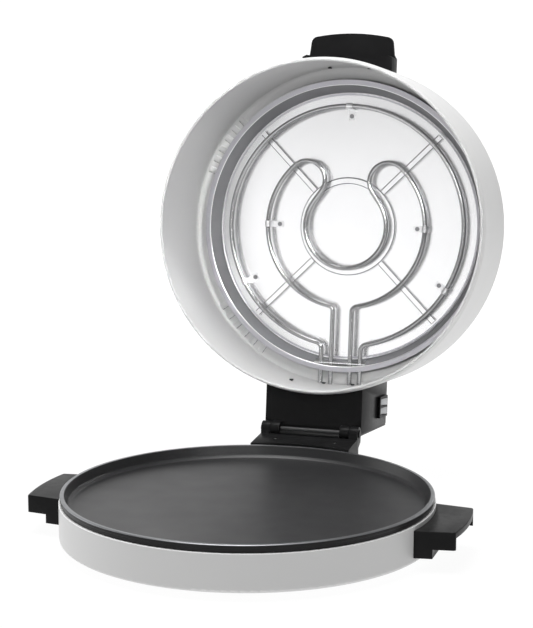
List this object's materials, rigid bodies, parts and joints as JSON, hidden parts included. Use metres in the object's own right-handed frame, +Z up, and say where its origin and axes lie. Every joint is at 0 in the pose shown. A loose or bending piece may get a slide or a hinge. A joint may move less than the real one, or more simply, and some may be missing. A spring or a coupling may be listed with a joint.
{
  "type": "countertop mini oven with a hinged lid",
  "caption": "Round electric countertop oven with a shallow base, a dark baking plate and a deep lid swung open on a rear hinge, showing its heating elements.",
  "frame": {"origin": "centre of the round base on the surface it stands on", "axes": "+X to the right of the user, +Y back towards the hinge, +Z up; the front edge of the plate faces -Y"},
  "size_m": [0.4892, 0.6509, 0.5433],
  "materials": {
    "white_paint": "gloss",
    "plate_coating": "satin",
    "bright_sheet": "polished",
    "steel_sheet": "satin",
    "element_steel": "polished",
    "screw_steel": "satin",
    "black_steel": "satin",
    "black_plastic": "satin",
    "black_gloss_plastic": "gloss",
    "grey_key_plastic": "satin",
    "rubber": "matt",
    "ceramic": "matt",
    "brass_tab": "satin",
    "terminal_plastic": "satin"
  },
  "bodies": {
    "base": {"base_shell": "white_paint", "base_bottom_cover": "steel_sheet", "base_bottom_screws": "screw_steel", "rubber_feet": "rubber", "centre_foot": "rubber", "foot_screws": "screw_steel", "lower_reflector": "steel_sheet", "lower_heating_element": "element_steel", "lower_element_clamps": "steel_sheet", "lower_thermostat": "ceramic", "lower_terminal_block": "terminal_plastic", "lower_lead_terminals": "brass_tab", "baking_plate": "plate_coating", "side_handle_left": "black_plastic", "side_handle_right": "black_plastic", "side_handle_screws": "screw_steel", "hinge_bracket": "black_plastic", "hinge_bracket_cover": "black_plastic", "heel_pads": "rubber", "hinge_bracket_screws": "screw_steel", "bracket_cover_screws": "screw_steel", "bracket_top_screws": "screw_steel", "cord_inlet_bush": "black_gloss_plastic", "hinge_pin": "black_steel", "hinge_pin_caps": "black_plastic"},
    "lid": {"lid_wall": "white_paint", "lid_roof": "white_paint", "lid_reflector": "bright_sheet", "reflector_ring": "bright_sheet", "reflector_spacers": "steel_sheet", "element_spider": "bright_sheet", "outer_heating_element": "element_steel", "inner_heating_element": "element_steel", "element_clips": "bright_sheet", "clip_rivets": "screw_steel", "lead_guide_plate": "bright_sheet", "lead_bushes": "ceramic", "lead_terminals": "brass_tab", "upper_hinge_housing": "black_plastic", "upper_housing_cover": "black_plastic", "housing_cover_screws": "screw_steel", "upper_housing_screws": "black_steel", "upper_terminal_block": "terminal_plastic", "upper_thermostat": "ceramic", "switch_bezel": "black_gloss_plastic", "switch_body": "terminal_plastic", "lid_handle": "black_plastic", "lid_handle_screws": "black_steel"},
    "key_upper": {"rocker_key_upper": "grey_key_plastic"},
    "key_lower": {"rocker_key_lower": "grey_key_plastic"}
  },
  "joints": [
    {"name": "lid_hinge", "type": "hinge", "parent": "base", "child": "lid", "pos_m": [0, 0.24933, 0.06624], "axis": [1, 0, 0], "range_deg": [0, 96.6]},
    {"name": "upper_switch", "type": "hinge", "parent": "lid", "child": "key_upper", "pos_m": [0.058, 0.35841, 0.07129], "axis": [0, 0.1156, 0.9933], "range_deg": [0, 16]},
    {"name": "lower_switch", "type": "hinge", "parent": "lid", "child": "key_lower", "pos_m": [0.058, 0.35972, 0.08261], "axis": [0, 0.1156, 0.9933], "range_deg": [0, 16]}
  ]
}
